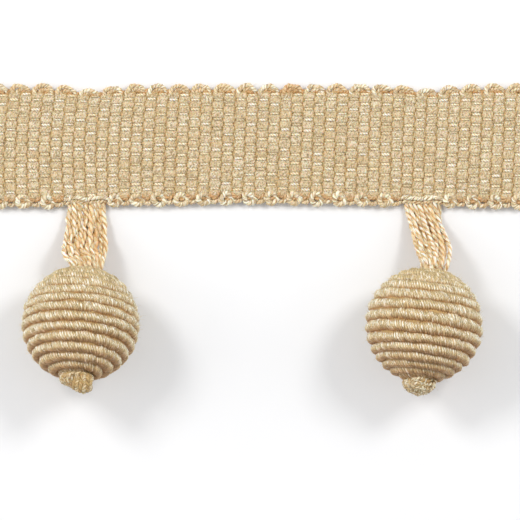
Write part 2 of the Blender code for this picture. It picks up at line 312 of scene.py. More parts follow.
def resample(path, step):
    """The path at even steps of its length."""
    at = lengths_of(path)
    even = np.linspace(0.0, at[-1], max(4, round(at[-1] / step) + 1))
    return np.stack([np.interp(even, at, path[:, axis]) for axis in range(3)], -1), even


def curve_through(knots, step):
    """A smooth path through some knots, at even steps."""
    knots = np.asarray(knots, float)
    last = len(knots) - 1
    at = np.linspace(0.0, last, 24 * last + 1)
    index = np.minimum(at.astype(int), last - 1)
    share = (at - index)[:, None]
    one, two = knots[index], knots[index + 1]
    start = (two - knots[np.maximum(index - 1, 0)]) / 2
    end = (knots[np.minimum(index + 2, last)] - one) / 2
    dense = (
        one * (2 * share**3 - 3 * share**2 + 1)
        + start * (share**3 - 2 * share**2 + share)
        + two * (3 * share**2 - 2 * share**3)
        + end * (share**3 - share**2)
    )
    return resample(dense, step)


def sides_of(path):
    """Two directions square to the path at each point, carried along it without twisting."""
    tangents = unit(np.gradient(path, axis=0))
    side = np.cross(tangents[0], (0.0, 0.0, 1.0))
    if np.linalg.norm(side) < 0.1:
        side = np.cross(tangents[0], (1.0, 0.0, 0.0))
    sides = []
    for tangent in tangents:
        side = side - tangent * side.dot(tangent)
        side = side / np.linalg.norm(side)
        sides.append(side)
    sides = np.array(sides)
    return sides, np.cross(sides, tangents)


def rings_round(path, reach, around, one, two):
    """Rings of points at some angles round a path, in the plane of two directions at each of its points."""
    aside = np.cos(around)[None, :, None] * one[:, None] + np.sin(around)[None, :, None] * two[:, None]
    return path[:, None] + reach * aside


Rope = namedtuple("Rope", "plies ply_radius offset pitch sides step")
PICOT_ROPE = Rope(2, 0.31 * MM, 0.21 * MM, 1.35 * MM, 6, 0.21 * MM)
STRAND_ROPE = Rope(2, 0.34 * MM, 0.20 * MM, 3.4 * MM, 8, 0.24 * MM)
BINDING_ROPE = Rope(2, 0.28 * MM, 0.17 * MM, 1.5 * MM, 7, 0.20 * MM)
FOLD_ROPE = Rope(3, 0.27 * MM, 0.24 * MM, 1.7 * MM, 7, 0.18 * MM)
TANGLE_ROPE = Rope(2, 0.22 * MM, 0.15 * MM, 1.5 * MM, 5, 0.20 * MM)
STEM_ROPE = Rope(4, 0.62 * MM, 0.72 * MM, 9 * MM, 8, 0.8 * MM)
ROPE_SLACK = 0.16  # how unevenly a rope is twisted, in turns for each pitch of it


def lay_rope(piece, knots, rope, tone=0.5, phase=0.0, size=1.0, hand=1, rise=1.0):
    """Twisted plies along a smooth path. size scales its thickness, and may vary along it.

    hand: 1 or -1. rise: how far the rope stands out from what lies beside it, 0 to 1; less is painted shade.
    """
    path, along = curve_through(knots, rope.step)
    side, up = sides_of(path)
    sizes = np.atleast_1d(size)
    size = np.interp(along / along[-1], np.linspace(0, 1, len(sizes)), sizes)
    around = np.arange(rope.sides) * 2 * math.pi / rope.sides
    slack = np.interp(along / rope.pitch, np.arange(60), np.cumsum(rng.normal(0.0, ROPE_SLACK, 60)))
    for ply in range(rope.plies):
        turn = 2 * math.pi * (hand * (along / rope.pitch + slack) + ply / rope.plies) + phase
        out = np.cos(turn)[:, None] * side + np.sin(turn)[:, None] * up
        centre = path + out * (rope.offset * size)[:, None]
        across = unit(np.cross(np.gradient(centre, axis=0), out))
        rings = rings_round(centre, (rope.ply_radius * size)[:, None, None], around, out, across)
        rings[..., 2] = np.maximum(rings[..., 2], 0.0)
        # Painted shade on each ply's inner side, against the others, and all over as rise drops.
        depth = rise * smooth((np.cos(around)[None, :] + 0.35) / 1.35)
        grid = np.broadcast_to(along[:, None], (len(along), rope.sides))
        fibre = fibre_of(around[None, :], grid + 37 * MM * (tone + ply), rope.ply_radius, twist=-1.5)
        piece.tube(rings, fibre, depth, tone)


# Materials

# deep, body and lit are colours: painted shade down between yarns and plies, the yarn's own colour, and
# painted glints, its bright flecks. speck and fleck are how strong its dark fibres and its painted glints
# are. grain is fibres to a mm. relief and ply, the width of a ply, are in mm. glow is the share of the light
# that goes into a yarn and comes out beside.
Yarn = namedtuple("Yarn", "deep body lit speck fleck roughness gloss sheen grain relief ply ply_share glow")
YARNS = {
    "matte_yarn": Yarn(
        (0.78, 0.475, 0.15), (0.71, 0.535, 0.30), (1.0, 0.94, 0.79),
        0.46, 0.66, 0.80, 0.25, 0.12, 6.5, 0.14, 0.50, 0.10, 0.30,
    ),
    "shiny_yarn": Yarn(
        (0.84, 0.56, 0.25), (1.0, 0.89, 0.62), (1.0, 0.99, 0.90),
        0.10, 1.0, 0.26, 0.75, 0.0, 3.5, 0.05, 0.62, 0.9, 0.22,
    ),
    "picot_yarn": Yarn(
        (0.57, 0.28, 0.08), (0.81, 0.60, 0.33), (1.0, 0.94, 0.74),
        0.42, 1.0, 0.28, 0.65, 0.05, 4.0, 0.08, 0, 0, 0.25,
    ),
    "strand_yarn": Yarn(
        (0.76, 0.38, 0.10), (0.86, 0.65, 0.37), (1.0, 0.97, 0.84),
        0.32, 1.0, 0.28, 0.75, 0.0, 3.8, 0.07, 0, 0, 0.35,
    ),
    "wrapped_cord": Yarn(
        (0.44, 0.11, 0.002), (0.88, 0.70, 0.35), (1.0, 0.98, 0.86),
        0.42, 1.0, 0.29, 0.46, 0.10, 3.4, 0.09, 0, 0, 0.10,
    ),
    "knot_yarn": Yarn(
        (0.44, 0.16, 0.02), (0.72, 0.48, 0.18), (1.0, 0.91, 0.68),
        0.50, 1.0, 0.24, 0.70, 0.0, 4.6, 0.10, 0, 0, 0.15,
    ),
    "weft_yarn": Yarn(
        (0.60, 0.36, 0.12), (0.74, 0.52, 0.25), (0.80, 0.62, 0.34),
        0.25, 0.2, 0.80, 0.20, 0.10, 5.0, 0.05, 0, 0, 0.15,
    ),
}
GLOW_RADIUS = (1.0, 0.50, 0.22)
GLOW_SCALE = 0.7 * MM
PLY_SLANT = 0.9  # how far a ply's edge moves along the yarn for each step across it
PLY_UNEVEN = 4.0  # how far the grain moves a ply's edge, in radians of its turn


def linked(tree, kind, inputs, **settings):
    """A new node, with its inputs set to numbers or linked to other nodes' outputs."""
    node = tree.nodes.new(kind)
    for key, value in settings.items():
        setattr(node, key, value)
    for key, value in inputs.items():
        if isinstance(value, bpy.types.NodeSocket):
            tree.links.new(value, node.inputs[key])
        else:
            node.inputs[key].default_value = value
    return node


def math_node(tree, operation, *values):
    return linked(tree, "ShaderNodeMath", dict(enumerate(values)), operation=operation).outputs[0]


def mix(tree, share, one, two, blend="MIX"):
    """Two colours mixed by a share. Colours are tuples or sockets."""
    node = tree.nodes.new("ShaderNodeMix")
    node.data_type = "RGBA"
    node.blend_type = blend
    for socket, value in zip((node.inputs[0], node.inputs[6], node.inputs[7]), (share, one, two)):
        if isinstance(value, bpy.types.NodeSocket):
            tree.links.new(value, socket)
        else:
            socket.default_value = value if isinstance(value, float) else (*value, 1.0)
    return node.outputs[2]


def ramp(tree, value, start, end):
    """The value moved from one range to another, and held to it."""
    ends = dict(zip(("From Min", "From Max", "To Min", "To Max"), (*start, *end)))
    return linked(tree, "ShaderNodeMapRange", {"Value": value, **ends}).outputs[0]


def plies_seen(tree, yarn, grain):
    """How far a ply of a yarn along X stands out: slanting stripes, or 1 all over where it has no plies."""
    if not yarn.ply:
        whole = tree.nodes.new("ShaderNodeValue")
        whole.outputs[0].default_value = 1.0
        return whole.outputs[0]
    place = linked(tree, "ShaderNodeTexCoord", {}).outputs["Object"]
    place = linked(tree, "ShaderNodeSeparateXYZ", {"Vector": place})
    slanted = math_node(tree, "MULTIPLY_ADD", place.outputs["Y"], PLY_SLANT, place.outputs["X"])
    uneven = math_node(tree, "MULTIPLY", grain, PLY_UNEVEN)
    turns = math_node(tree, "MULTIPLY_ADD", slanted, 2 * math.pi / (yarn.ply * MM), uneven)
    return ramp(tree, math_node(tree, "SINE", turns), (-1.0, 1.0), (1 - yarn.ply_share, 1.0))


def yarn_material(name):
    """Spun fibres: shade painted by depth, glints painted by a random tone, and grain along the yarn."""
    yarn = YARNS[name]
    made = bpy.data.materials.new(name)
    made.use_nodes = True
    tree = made.node_tree
    shader = tree.nodes["Principled BSDF"]
    fibre = linked(tree, "ShaderNodeAttribute", {}, attribute_name="fibre").outputs["Vector"]
    depth = linked(tree, "ShaderNodeAttribute", {}, attribute_name="depth").outputs["Fac"]
    tone = linked(tree, "ShaderNodeAttribute", {}, attribute_name="tone").outputs["Fac"]
    grain = linked(
        tree, "ShaderNodeTexNoise",
        {"Vector": fibre, "Scale": 2 * yarn.grain, "Detail": 3.0, "Roughness": 0.6},
    ).outputs["Fac"]
    tufts = linked(tree, "ShaderNodeTexVoronoi", {"Vector": fibre, "Scale": yarn.grain})
    tuft = linked(tree, "ShaderNodeSeparateColor", {"Color": tufts.outputs["Color"]}).outputs["Red"]
    ply = plies_seen(tree, yarn, grain)
    # Painted shade: the colour goes towards deep down between the yarns and in the gaps between plies.
    unshaded = math_node(tree, "MULTIPLY", math_node(tree, "POWER", depth, 0.7), ply)
    colour = mix(tree, unshaded, yarn.deep, yarn.body)
    # Painted glints: bright flecks on random fibres, more where the tone is high, only where the yarn stands
    # out.
    spots = ramp(tree, math_node(tree, "ADD", tuft, tone), (1.0, 1.6), (0.0, yarn.fleck))
    bright = math_node(tree, "ADD", math_node(tree, "MULTIPLY", tone, 0.10), spots)
    bright = math_node(tree, "MULTIPLY", math_node(tree, "MULTIPLY", bright, ply), depth)
    colour = mix(tree, bright, colour, yarn.lit)
    # Random darker fibres, darker with a low tone (painted shade between threads on the winding) and in ply
    # gaps.
    dull = ramp(tree, tuft, (0.0, 0.5), (1 - yarn.speck, 1.0))
    for value, start, end in (
        (grain, (0.35, 0.60), (0.86, 1.06)),
        (tone, (0.0, 0.35), (0.72, 1.0)),
        (ply, (0.0, 1.0), (1 - 0.2 * yarn.ply_share, 1.0)),
    ):
        dull = math_node(tree, "MULTIPLY", dull, ramp(tree, value, start, end))
    shade = linked(tree, "ShaderNodeCombineColor", {"Red": dull, "Green": dull, "Blue": dull}).outputs[0]
    colour = mix(tree, 1.0, colour, shade, "MULTIPLY")
    tree.links.new(colour, shader.inputs["Base Color"])
    rough = ramp(tree, grain, (0.3, 0.7), (yarn.roughness + 0.1, yarn.roughness - 0.08))
    tree.links.new(rough, shader.inputs["Roughness"])
    height = math_node(tree, "SUBTRACT", grain, tufts.outputs["Distance"])
    height = math_node(tree, "ADD", height, math_node(tree, "MULTIPLY", ply, yarn.ply_share))
    bump = linked(
        tree, "ShaderNodeBump", {"Height": height, "Strength": 1.0, "Distance": yarn.relief * MM}
    ).outputs[0]
    tree.links.new(bump, shader.inputs["Normal"])
    shader.inputs["Specular IOR Level"].default_value = yarn.gloss
    shader.inputs["Subsurface Weight"].default_value = yarn.glow
    shader.inputs["Subsurface Radius"].default_value = GLOW_RADIUS
    shader.inputs["Subsurface Scale"].default_value = GLOW_SCALE
    shader.inputs["Sheen Weight"].default_value = yarn.sheen
    shader.inputs["Sheen Roughness"].default_value = 0.5
    shader.inputs["Sheen Tint"].default_value = (*yarn.lit, 1.0)
    return made


materials = {name: yarn_material(name) for name in YARNS}


# Braid

Face = namedtuple("Face", "middle half tone")


def woven_face(shiny_parity):
    """The cells that one face of the braid shows: each one's middle and half width, and its tone."""
    row, column = np.mgrid[0:ROWS, 0:RIBS]
    shiny = (row + column) % 2 == shiny_parity
    middle = BODY_LOW + (row + 0.5) * ROW + rng.normal(0.0, CELL_STRAY, row.shape)
    half = rng.uniform(*SHINY_HALF, row.shape)
    tone = np.where(shiny, rng.uniform(*SHINY_TONES, row.shape), rng.uniform(*MATTE_TONES, row.shape))
    low = np.full(row.shape, BODY_LOW)
    high = np.full(row.shape, BODY_HIGH)
    low[1:] = (middle + half)[:-1]
    high[:-1] = (middle - half)[1:]
    return Face(np.where(shiny, middle, (low + high) / 2), np.where(shiny, half, (high - low) / 2), tone)


def warp_end(piece, kind, row, face, back):
    """One warp end, over one rib and under the next, from cut end to cut end."""
    end = ENDS[kind]
    columns = np.arange(RIBS)
    on_face = (columns + row) % 2 == kind
    middle = np.where(on_face, face.middle[row], back.middle[row])
    half = np.where(on_face, face.half[row], back.half[row])
    tone = np.where(on_face, face.tone[row], back.tone[row])
    sign = np.where(on_face, 1.0, -1.0)
    swell = np.abs(np.cos(math.pi * RIB_STEPS)) ** end.pillow
    swell[0] = 0.0
    thick = end.thick * np.where(swell > 0, 1.0, GROOVE_FILL)
    crest = (THICK / 2 - end.thick + end.rise) - np.abs(rng.normal(0.0, CREST_STRAY, RIBS))
    height = (sign * crest)[:, None] * swell[None, :]
    wide = np.where(np.abs(RIB_STEPS) < 0.35, 1.0, 0.90)
    halves = half[:, None] * wide[None, :] + PRESSED
    middles = np.repeat(middle[:, None], len(RIB_STEPS), 1)
    earlier = np.roll(middle, 1)
    earlier[0] = middle[0]
    middles[:, 0] = (middle + earlier) / 2
    halves[:, 0] = end.groove_wide * (half + np.roll(half, 1)) / 2
    # The matte end's cell is the longer one, so the grooves between the ribs zigzag.
    push = CELL_BULGE * np.where(on_face, 1.0, -1.0) * (1 if kind == MATTE else -1)
    edge = np.interp(RIB_STEPS, (-0.5, -0.28, 0.28, 0.5), (-1, -0.5, 0.5, 1))
    x = (columns[:, None] + 0.5 + RIB_STEPS[None, :]) * RIB - LENGTH / 2 + push[:, None] * edge[None, :]
    x[0, 0] = -LENGTH / 2
    x = np.append(x.reshape(-1), LENGTH / 2)
    middles, halves, height = middles.reshape(-1), halves.reshape(-1), height.reshape(-1)
    middles, halves, height = (np.append(v, v[0]) for v in (middles, halves, height))
    tones = np.append(np.repeat(tone, len(RIB_STEPS)), tone[-1])
    swells = np.append(np.tile(swell, RIBS), 0.0)
    thicks = np.append(np.tile(thick, RIBS), thick[0])[:, None]
    around = (np.arange(end.sides) + 0.5) * 2 * math.pi / end.sides
    across = np.sign(np.cos(around)) * np.abs(np.cos(around)) ** end.corner
    upward = np.sign(np.sin(around)) * np.abs(np.sin(around)) ** end.corner
    y = middles[:, None] + halves[:, None] * across[None, :]
    level = np.interp(y, CREST_AT, CREST) / THICK
    z = np.maximum(0.0, (THICK / 2 + height[:, None] + thicks * upward[None, :]) * level)
    placed_x, placed_y = settle(np.broadcast_to(x[:, None], y.shape), y)
    rings = np.stack((placed_x, placed_y, z), -1)
    shown = np.where(height[:, None] >= 0, upward[None, :], -upward[None, :])
    # Painted shade: in the grooves between ribs, on each end's hidden side, and near the braid's edges.
    depth = (0.1 + 0.9 * smooth((swells[:, None] - 0.3) / 0.7)) * smooth(0.7 + 0.6 * shown)
    depth = depth * smooth(0.3 + np.minimum(y - BODY_LOW, BODY_HIGH - y) / (0.7 * MM))
    grid = np.broadcast_to(x[:, None], y.shape) + row * 17 * MM + kind * 5 * MM
    twist = 0.4 if kind == MATTE else 2.4
    fibre = fibre_of(around[None, :], grid, (0.60 if kind == MATTE else 0.30) * MM, twist, 0.7)
    piece.tube(rings, fibre, depth, tones[:, None])


def make_ground():
    """The layer of weft inside the braid: a flat closed sheet that swells over every pick."""
    across = np.linspace(BODY_LOW + 0.4 * MM, BODY_HIGH - 0.4 * MM, 23)
    steps = np.linspace(-LENGTH / 2 + 0.05 * MM, LENGTH / 2 - 0.05 * MM, RIBS * 4 + 1)
    swell = np.abs(np.sin(math.pi * (steps + LENGTH / 2) / RIB)) ** 0.7
    there = np.concatenate((across, across[::-1]))
    sign = np.concatenate((np.ones(len(across)), -np.ones(len(across))))
    level = np.interp(there, CREST_AT, CREST) / THICK
    z = (THICK / 2 + sign[None, :] * (0.10 + 0.24 * swell[:, None]) * MM) * level[None, :]
    grid_x = np.broadcast_to(steps[:, None], z.shape)
    grid_y = np.broadcast_to(there[None, :], z.shape)
    x, y = settle(grid_x, grid_y)
    piece = Piece()
    fibre = np.stack((grid_x / MM, z / MM, grid_y / MM * 0.2), -1)
    # Painted shade where the sheet sinks between the picks.
    piece.tube(np.stack((x, y, z), -1), fibre, 0.5 * swell[:, None], 0.3)
    return piece.finish("braid_ground", materials["weft_yarn"])


def make_warp():
    face, back = woven_face(SHINY), woven_face(MATTE)
    made = []
    for kind, name, material in ((MATTE, "warp_matte", "matte_yarn"), (SHINY, "warp_shiny", "shiny_yarn")):
        piece = Piece()
        for row in range(ROWS):
            warp_end(piece, kind, row, face, back)
        made.append(piece.finish(name, materials[material]))
    return made


# Each picot's yarns, in mm: along from the groove where it starts, out from the body's edge, and height.
TOP_PICOT = (
    ((0.75, -0.9, 1.1), (0.45, -0.1, 1.5), (0.75, 0.75, 1.45), (1.55, 1.22, 1.3),
     (2.5, 1.25, 1.2), (3.4, 0.95, 1.1), (4.0, 0.25, 0.95), (4.0, -0.8, 0.8)),
    ((1.5, -0.9, 1.0), (1.35, 0.0, 1.15), (1.9, 0.5, 1.1),
     (2.8, 0.55, 1.0), (3.3, 0.1, 0.9), (3.3, -0.8, 0.8)),
    ((1.0, -0.9, 0.9), (1.3, -0.1, 1.0), (2.3, 0.2, 1.0), (3.4, -0.1, 1.0), (3.7, -0.9, 0.9)),
    ((4.1, -0.9, 0.9), (4.3, -0.1, 1.0), (4.75, 0.1, 1.0), (5.2, -0.1, 1.0), (5.4, -0.9, 0.9)),
)
LOW_PICOT = (
    ((2.0, 0.3, 0.9), (1.75, -0.45, 1.35), (1.0, -0.65, 1.65), (0.35, -0.15, 1.7), (0.3, 0.65, 1.5),
     (0.85, 1.25, 1.3), (1.65, 1.3, 1.2), (2.35, 0.85, 1.2), (2.5, 0.1, 1.1), (2.3, -0.9, 0.9)),
    ((2.3, -0.6, 1.1), (2.5, 0.6, 1.0), (3.1, 1.05, 1.1),
     (3.9, 1.0, 1.1), (4.5, 0.5, 0.95), (4.6, -0.7, 0.8)),
    ((2.6, -0.5, 1.5), (3.0, 0.0, 1.4), (3.5, 0.15, 1.35), (4.1, 0.0, 1.35), (4.4, -0.5, 1.4)),
    ((0.5, -0.5, 1.2), (0.9, 0.1, 1.3), (1.3, 0.35, 1.35), (1.8, 0.5, 1.2), (2.4, 0.1, 1.0)),
)
# out: 1 or -1. rises: how far each yarn stands out, as lay_rope has it, so the low yarns under each
# picot are painted in shade. thick: of the first yarn.
Edge = namedtuple("Edge", "at out first yarns rises tones thick")
EDGES = (
    Edge(BODY_HIGH, 1, 0, TOP_PICOT, (1.0, 0.55, 0.08, 0.08), (0.35, 0.80), 1.0),
    Edge(BODY_LOW, -1, 1, LOW_PICOT, (1.0, 0.75, 0.15, 0.15), (0.60, 0.85), 1.22),
)
PICOT_STRAY = (0.13, 0.10, 0.06)
PICOT_SIZES = (0.88, 1.15)
PICOT_INSIDE = 0.6 * MM  # the least distance of a picot from the braid's cut ends
PICOT_LOWEST = 0.52
BROWNER_PICOT, BROWNER_RISE = 32, 0.4  # the one top picot drawn browner and darker, by a lower rise

# The binding, in mm: out from the body's edge, its wave and stray there, and its least height and its swell.
BINDING_OUT, BINDING_WAVE, BINDING_STRAY = 0.15, 0.18, 0.08
BINDING_HEIGHT, BINDING_SWELL = 1.0, 0.75
BINDING_RISE = (0.5, 1.0, 1.0)  # share of the swell at each groove, and a third and two thirds over each rib
LOWER_OUT, LOWER_DROP = 0.75 * MM, 0.45 * MM  # from the binding's upper turn to its lower one


def lay_binding(piece, ball):
    """The yarn that holds a hanger's strands against the braid's lower edge."""
    first = round((ball.at + LENGTH / 2) / RIB) - ROOT_RIBS / 2
    ribs = first + np.arange(3 * ROOT_RIBS + 1) / 3
    x = ribs * RIB - LENGTH / 2
    stray = rng.normal(0.0, BINDING_STRAY, len(ribs))
    y = BODY_LOW + (BINDING_OUT + BINDING_WAVE * np.cos(math.pi * ribs) + stray) * MM
    x, y = settle(x, y)
    z = (BINDING_HEIGHT + BINDING_SWELL * np.resize(BINDING_RISE, len(ribs))) * MM
    lay_rope(piece, np.stack((x, y, z), -1), BINDING_ROPE, 0.95, size=1.1)
    # The lower turn lies under the strands, and its lower rise paints it partly in shade.
    lower = np.stack((x, y - LOWER_OUT, z - LOWER_DROP), -1)
    lay_rope(piece, lower, BINDING_ROPE, 0.6, 2.0, 1.0, rise=0.75)


def make_picots():
    piece = Piece()
    roots = [round((ball.at + LENGTH / 2) / RIB) for ball in BALLS]
    for edge in EDGES:
        for groove in range(edge.first, RIBS - 1, 2):
            if edge.out < 0 and any(abs(groove + 1 - root) < ROOT_RIBS / 2 for root in roots):
                continue
            browner = BROWNER_RISE if edge.out > 0 and groove == BROWNER_PICOT else 1.0
            for number, (yarn, rise) in enumerate(zip(edge.yarns, edge.rises)):
                knots = np.array(yarn) + rng.normal(0.0, 1.0, (len(yarn), 3)) * PICOT_STRAY
                x = groove * RIB - LENGTH / 2 + knots[:, 0] * MM
                y = edge.at + edge.out * knots[:, 1] * MM
                x, y = settle(np.clip(x, PICOT_INSIDE - LENGTH / 2, LENGTH / 2 - PICOT_INSIDE), y)
                path = np.stack((x, y, np.maximum(knots[:, 2], PICOT_LOWEST) * MM), -1)
                tone = rng.uniform(*edge.tones)
                size = rng.uniform(*PICOT_SIZES, 5) * (edge.thick if number == 0 else 1.0)
                lay_rope(piece, path, PICOT_ROPE, tone, rng.uniform(0, 6.28), size, rise=rise * browner)
    for ball in BALLS:
        lay_binding(piece, ball)
    return piece.finish("picots", materials["picot_yarn"])


# Balls


def ball_axes(ball):
    """The ball's centre, and its directions: along the face's X, to the hanger, and up to the face."""
    tip, turn = math.radians(ball.tip), math.radians(ball.turn)
    upper = np.array((math.sin(turn) * math.cos(tip), math.cos(turn) * math.cos(tip), -math.sin(tip)))
    right = unit(np.cross(upper, (0.0, 0.0, 1.0)))
    front = np.cross(right, upper)
    return np.array((*ball.centre, BALL_EQUATOR - BALL_FLAT)), right, upper, front


TICK, TICK_STEPS = 0.57 * MM, 5  # the width of a thread along the cord, and the rings it gets
WRAP_STARTS = 5  # threads wrapped side by side, which sets their slant
CORD_HALF = 1.15 * MM
CORD_ANGLES = np.radians((-90, -5, 20, 45, 68, 90, 112, 135, 160, 185))  # of the section's points
WRAP_RELIEF = 0.16 * MM
THREAD_STRAY, THREAD_GLINT = 0.16, 0.20  # how far a thread strays, in threads, and its glint, in radians
THREAD_HIGH = 0.02 * MM
# Where on a turn's section the threads get their painted glint and the painted shade starts, as angles from
# the face's +Z.
GLINT_ANGLE, GLINT_WIDE = math.radians(25), 0.34
SHADE_FROM, SHADE_OVER, LOWER_SHADE = math.radians(10), math.radians(60), 0.70
# Tones: a base, random for each thread, painted shade in the furrows between threads, painted glint.
CORD_TONE, THREAD_TONE, FURROW_SHADE, GLINT_TONE = 0.40, 0.17, 0.32, 1.4
LUMP, LUMP_HIGH = 1.7 * MM, 0.07 * MM
WOBBLE = math.radians(0.9)
WAVES = ((2.3, 1.0), (5.37, 0.8), (13.1, 0.55), (17.7, 0.45))  # to a turn, and its share of the wobble


def wind(ball, turn):
    """Directions of the winding at some turns: (polar angle, outward direction)."""
    polar = WIND_START + WIND_PITCH * (turn + 0.5)
    uneven = np.sin(2 * math.pi * (polar - math.radians(ball.swell_from)) / SWELL_LENGTH)
    polar = polar + math.radians(ball.swell) * uneven * np.sin(polar)
    phase = 40 * ball.front
    wave = sum(size * np.sin(rate * 2 * math.pi * turn + rate * phase) for rate, size in WAVES)
    polar = polar + WOBBLE * wave * np.sin(polar) / 2
    _, right, upper, front = ball_axes(ball)
    angle = 2 * math.pi * (turn - ball.front)
    aside = np.sin(angle)[:, None] * right + np.cos(angle)[:, None] * front
    return polar, np.sin(polar)[:, None] * aside + np.cos(polar)[:, None] * upper


def ball_radius(polar):
    return 1 / np.hypot(np.sin(polar) / BALL_EQUATOR, np.cos(polar) / BALL_POLE)


def make_winding(ball):
    """One cord wound from pole to pole, wrapped crosswise with fine thread."""
    centre, _, upper, _ = ball_axes(ball)
    dense = np.linspace(0.0, WIND_TURNS + 0.45, 26001)
    polar, out = wind(ball, dense)
    at = lengths_of(out * ball_radius(polar)[:, None])
    along = np.arange(0.0, at[-1], TICK / TICK_STEPS)
    turn = np.interp(along, at, dense)
    polar, out = wind(ball, turn)
    wide = (wind(ball, turn + 0.5)[0] - wind(ball, turn - 0.5)[0]) * ball_radius(polar) / 2
    downhill = unit(np.cross(np.cross(upper, out), out))
    # Two draws for each thread: its tone, glint and thickness, and how far it strays.
    thread = rng.normal(0.0, 1.0, (2, len(along) // TICK_STEPS + 8))
    corner = 1.0 + 0.20 * smooth((polar - 0.4) / 0.9)
    cos, sin = np.cos(CORD_ANGLES)[None, :], np.sin(CORD_ANGLES)[None, :]
    across = np.sign(cos) * np.abs(cos) ** corner[:, None]
    outward = np.sign(sin) * np.abs(sin) ** corner[:, None]
    phase = (along / TICK)[:, None] + CORD_ANGLES[None, :] / (2 * math.pi) * WRAP_STARTS
    strays = np.interp(phase, np.arange(thread.shape[1]) - 3.0, thread[1])
    phase = phase + THREAD_STRAY * strays * np.sin(2 * CORD_ANGLES[None, :] + phase)
    ripple = np.cos(2 * math.pi * phase) * WRAP_RELIEF
    each = thread[0][np.clip(np.floor(phase + 3.5).astype(int), 0, thread.shape[1] - 1)]
    lumps = np.arange(0, along[-1] + LUMP, LUMP)
    swell = np.interp(along, lumps, rng.normal(0.0, LUMP_HIGH, int(along[-1] / LUMP) + 2)[: len(lumps)])
    reach = 1 + (ripple + each * THREAD_HIGH + swell[:, None]) / CORD_HALF
    middle = centre + out * (ball_radius(polar) - CORD_HALF)[:, None]
    rings = middle[:, None] + reach[..., None] * (
        (across * wide[:, None])[..., None] * downhill[:, None]
        + (outward * CORD_HALF)[..., None] * out[:, None]
    )
    rings[..., 2] = np.maximum(rings[..., 2], 0.0)
    crest = np.cos(2 * math.pi * phase)
    # Painted shade: on each turn's side away from the lamps, and down between the turns and threads.
    facing = CORD_ANGLES[None, :] - (polar - math.radians(ball.tip))[:, None]
    shaded = 1 - LOWER_SHADE * smooth((SHADE_FROM - facing) / SHADE_OVER)
    depth = smooth((outward + 0.05) / 0.85) * (0.78 + 0.22 * crest) * shaded
    # Near the hanger the painted glint narrows and the tone drops, so those turns are painted darker.
    open_to = (0.45 + 0.55 * smooth((polar - 0.4) / 0.8))[:, None]
    # Painted glint on each thread's crest, where the turn's section faces the lamps.
    beside = facing - GLINT_ANGLE - THREAD_GLINT * each
    glint = smooth((crest + 0.5) / 1.5) * bell(beside, GLINT_WIDE * open_to)
    tones = CORD_TONE - CORD_TONE * (1 - open_to) + GLINT_TONE * glint
    tones = tones + (THREAD_TONE * each - FURROW_SHADE * smooth(-crest)) * open_to
    places = (phase * TICK / MM * 2.0, CORD_ANGLES[None, :] * 0.6, 0.3 * along[:, None] / MM)
    fibre = np.stack(np.broadcast_arrays(*places), -1)
    piece = Piece()
    piece.tube(rings, fibre, depth, np.clip(tones, 0.0, 1.0))
    name = f"winding_{ball.side}"
    made = piece.finish(name, materials["wrapped_cord"])
    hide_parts(f"ball_{ball.side}")
    return made


BEAD_UNDER = 0.75 * MM  # how far the bead's surface lies under the ball's
BEAD_HOLE = 2.0 * MM


def make_core(ball):
    """The bead under the cord, with its hole."""
    centre, right, upper, front = ball_axes(ball)
    polar = np.radians(np.linspace(12, 166, 24))
    out = (ball_radius(polar) - BEAD_UNDER) * np.sin(polar)
    height = (ball_radius(polar) - BEAD_UNDER) * np.cos(polar)
    out = np.concatenate((out, np.full(6, BEAD_HOLE)))
    height = np.concatenate((height, np.linspace(height[-1], height[0], 6)))
    angle = np.arange(48) * 2 * math.pi / 48
    aside = np.sin(angle)[None, :, None] * right + np.cos(angle)[None, :, None] * front
    rings = centre + out[:, None, None] * aside + height[:, None, None] * upper
    piece = Piece()
    # Its low depth paints it in shade, as it shows only down between the turns.
    piece.tube(rings, rings / MM, 0.3, 0.3, closed=True)
    return piece.finish(f"bead_{ball.side}", materials["weft_yarn"])


# Hangers


def root_place(ball):
    """The middle of the hanger's root, and its least height across the braid."""
    ends = [settle(ball.at + side * ROOT_RIBS / 2 * RIB, BODY_LOW) for side in (-1, 1)]
    (low_x, low_y), (high_x, high_y) = ends
    return (low_x + high_x) / 2, min(low_y, high_y) - CLEAR


